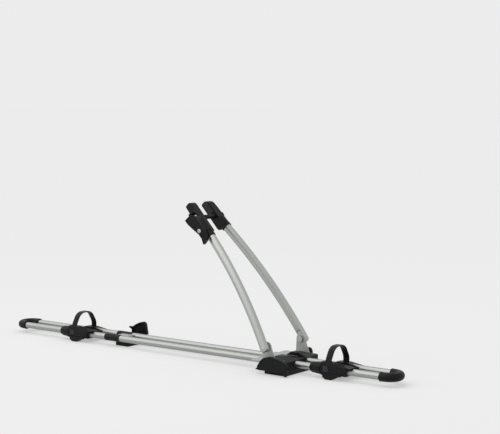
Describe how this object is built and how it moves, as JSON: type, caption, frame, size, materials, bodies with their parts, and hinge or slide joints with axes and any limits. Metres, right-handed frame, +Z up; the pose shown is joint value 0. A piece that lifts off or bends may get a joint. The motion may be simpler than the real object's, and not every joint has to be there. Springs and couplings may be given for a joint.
{
  "type": "roof mounted bike carrier",
  "caption": "Roof bike carrier on twin round rails, with folding curved arms, a frame clamp, sliding wheel holders with straps and locking feet.",
  "frame": {"origin": "under the feet, at the middle of the carrier's length and width", "axes": "+X towards the front of the car, +Y to the far side away from the cam lever, +Z up"},
  "size_m": [1.49, 0.2222, 0.472],
  "materials": {
    "rail_aluminium": "satin anodised",
    "arm_aluminium": "satin anodised",
    "yoke_steel": "light grey coat, low sheen",
    "black_plastic": "fine moulded grain",
    "clamp_plastic": "fine moulded grain",
    "button_plastic": "fine moulded grain",
    "strap_plastic": "ribbed, flexible",
    "pad_rubber": "matt",
    "screw_steel": "zinc plated",
    "lock_metal": "satin"
  },
  "bodies": {
    "root": {"rail_rear_near": "rail_aluminium", "rail_rear_far": "rail_aluminium", "rail_front_near": "rail_aluminium", "rail_front_far": "rail_aluminium", "coupler_near": "black_plastic", "coupler_far": "black_plastic", "end_loop_rear": "black_plastic", "end_loop_front": "black_plastic", "arm_yoke": "yoke_steel", "front_foot_base": "black_plastic", "front_foot_saddle": "black_plastic", "front_foot_pad": "pad_rubber", "front_foot_screws": "screw_steel", "front_hinge_pins": "screw_steel", "front_t_bolts": "screw_steel", "rear_foot_base": "yoke_steel", "rear_foot_clip": "yoke_steel", "rear_foot_pad": "pad_rubber", "rear_foot_screws": "screw_steel", "rear_hinge_pin": "screw_steel", "rear_t_bolt": "screw_steel"},
    "arm_pivots": {"pivot_bolt_near": "screw_steel", "pivot_bolt_far": "screw_steel"},
    "near_arm": {"arm_near": "arm_aluminium", "jaw_near": "clamp_plastic", "jaw_pad_near": "pad_rubber", "jaw_screws_near": "screw_steel", "arm_collar": "clamp_plastic", "clamp_rod": "screw_steel", "lever_pin": "screw_steel"},
    "far_arm": {"arm_far": "arm_aluminium", "jaw_far": "clamp_plastic", "jaw_pad_far": "pad_rubber", "jaw_screws_far": "screw_steel", "clamp_sleeve": "clamp_plastic", "clamp_cap_nut": "clamp_plastic"},
    "clamp_lever": {"clamp_lever": "clamp_plastic"},
    "lock": {"lock_cylinder": "lock_metal"},
    "front_cover": {"front_foot_cover": "black_plastic"},
    "front_lever": {"front_foot_lever": "black_plastic"},
    "rear_lever": {"rear_foot_lever": "black_plastic"},
    "front_holder": {"front_cradle": "black_plastic", "front_strap": "strap_plastic", "front_buckle_pin": "screw_steel", "front_button_spring": "screw_steel"},
    "front_collar": {"front_twist_collar": "black_plastic"},
    "front_buckle": {"front_buckle_lever": "black_plastic"},
    "front_button": {"front_release_button": "button_plastic"},
    "rear_holder": {"rear_cradle": "black_plastic", "rear_strap": "strap_plastic", "rear_buckle_pin": "screw_steel", "rear_button_spring": "screw_steel"},
    "rear_collar": {"rear_twist_collar": "black_plastic"},
    "rear_buckle": {"rear_buckle_lever": "black_plastic"},
    "rear_button": {"rear_release_button": "button_plastic"}
  },
  "joints": [
    {"name": "arm_fold", "type": "hinge", "parent": "root", "child": "arm_pivots", "pos_m": [0.345, 0, 0.0785], "axis": [0, -1, 0], "range_deg": [-45, 50]},
    {"name": "near_splay", "type": "hinge", "parent": "arm_pivots", "child": "near_arm", "pos_m": [0.345, -0.098, 0.0785], "axis": [0.7795, 0, 0.6264], "range_deg": [-1.6, 1.8]},
    {"name": "far_splay", "type": "hinge", "parent": "arm_pivots", "child": "far_arm", "pos_m": [0.345, 0.098, 0.0785], "axis": [0.7795, 0, 0.6264], "range_deg": [-1.9, 1.7]},
    {"name": "clamp_lever_turn", "type": "hinge", "parent": "near_arm", "child": "clamp_lever", "pos_m": [0.06273, -0.069, 0.42964], "axis": [-0.7408, 0, -0.6717], "range_deg": [0, 100]},
    {"name": "lock_turn", "type": "hinge", "parent": "clamp_lever", "child": "lock", "pos_m": [0.09073, -0.073, 0.39429], "axis": [0, -1, 0], "range_deg": [0, 90]},
    {"name": "front_cover_swing", "type": "hinge", "parent": "root", "child": "front_cover", "pos_m": [0.41925, -0.097, 0.027], "axis": [0, 0, 1], "range_deg": [0, 100]},
    {"name": "front_lever_swing", "type": "hinge", "parent": "root", "child": "front_lever", "pos_m": [0.37275, 0.097, 0.027], "axis": [0, 0, -1], "range_deg": [0, 100]},
    {"name": "rear_lever_swing", "type": "hinge", "parent": "root", "child": "rear_lever", "pos_m": [-0.26548, 0.085, 0.027], "axis": [0, 0, -1], "range_deg": [0, 100]},
    {"name": "front_holder_slide", "type": "slide", "parent": "root", "child": "front_holder", "axis": [1, 0, 0], "range_m": [-0.04, 0.086]},
    {"name": "front_collar_turn", "type": "hinge", "parent": "front_holder", "child": "front_collar", "pos_m": [0.4814, -0.029, 0.027], "axis": [1, 0, 0], "range_deg": [0, 90]},
    {"name": "front_buckle_swing", "type": "hinge", "parent": "front_holder", "child": "front_buckle", "pos_m": [0.5389, -0.046, 0.015], "axis": [-1, 0, 0], "range_deg": [0, 80]},
    {"name": "front_button_press", "type": "slide", "parent": "front_holder", "child": "front_button", "axis": [0, 1, 0], "range_m": [0, 0.003], "stiffness_N_per_m": 800},
    {"name": "rear_holder_slide", "type": "slide", "parent": "root", "child": "rear_holder", "axis": [1, 0, 0], "range_m": [-0.16, 0.046]},
    {"name": "rear_collar_turn", "type": "hinge", "parent": "rear_holder", "child": "rear_collar", "pos_m": [-0.50572, -0.029, 0.027], "axis": [1, 0, 0], "range_deg": [0, 90]},
    {"name": "rear_buckle_swing", "type": "hinge", "parent": "rear_holder", "child": "rear_buckle", "pos_m": [-0.44822, -0.046, 0.015], "axis": [-1, 0, 0], "range_deg": [0, 80]},
    {"name": "rear_button_press", "type": "slide", "parent": "rear_holder", "child": "rear_button", "axis": [0, 1, 0], "range_m": [0, 0.003], "stiffness_N_per_m": 800}
  ],
  "couplings": [
    {"joint": "far_splay", "follows": "near_splay", "ratio": -1}
  ]
}
